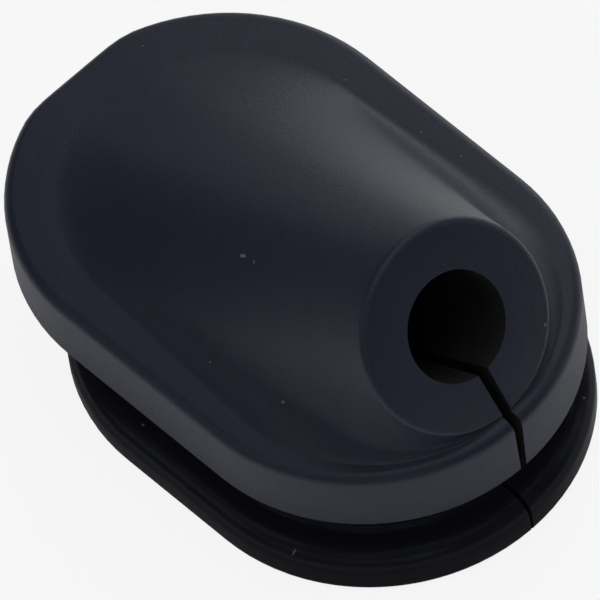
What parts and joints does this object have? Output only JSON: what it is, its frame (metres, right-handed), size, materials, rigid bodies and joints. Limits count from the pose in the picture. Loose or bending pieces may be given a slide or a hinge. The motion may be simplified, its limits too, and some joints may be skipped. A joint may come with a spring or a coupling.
{
  "type": "rubber cable grommet",
  "caption": "Oblong rubber grommet for a slot in a thin wall, with a raised hood, a slanted cable hole and a slit to slip the cable in.",
  "frame": {"origin": "on the inner flange's outer face, under the middle of the cover", "axes": "+X along the slot towards the cable end, +Y across the slot, +Z out of the wall through the cover"},
  "size_m": [0.0222, 0.0152, 0.0131],
  "materials": {
    "rubber": "matt black, finely grained on the cover, smoother on the inner flange"
  },
  "bodies": {
    "root": {"grommet": "rubber"}
  },
  "joints": []
}
